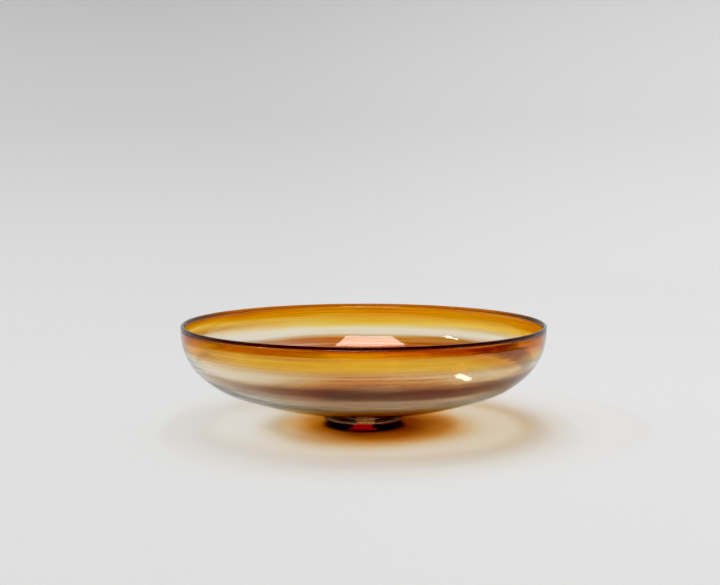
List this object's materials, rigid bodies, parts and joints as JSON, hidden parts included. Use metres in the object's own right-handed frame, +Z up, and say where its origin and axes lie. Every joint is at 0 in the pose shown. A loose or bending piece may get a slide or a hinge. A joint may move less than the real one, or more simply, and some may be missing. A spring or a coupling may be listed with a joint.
{
  "type": "art glass bowl",
  "caption": "Wide shallow bowl of clear glass cased over amber and honey colour bands, on a small solid clear button foot.",
  "frame": {"origin": "centre of the face that the foot rests on, under the middle of the bowl", "axes": "+Z up along the bowl's axis, out of its mouth; the bowl is turned about Z, so X and Y are free"},
  "size_m": [0.3302, 0.3302, 0.094],
  "materials": {
    "clear_glass": "fire polished, clear",
    "dark_amber_glass": "transparent dark amber, streaky",
    "honey_glass": "transparent golden honey, streaky",
    "amber_glass": "transparent orange amber, streaky",
    "red_glass": "saturated red"
  },
  "bodies": {
    "root": {"inner_gather": "clear_glass", "outer_casing": "clear_glass", "lip_bead": "clear_glass", "button_foot": "clear_glass", "rim_amber_trail": "dark_amber_glass", "wall_honey_trail": "honey_glass", "shoulder_amber_trail": "amber_glass", "base_amber_swirl": "amber_glass", "red_core": "red_glass"}
  },
  "joints": []
}
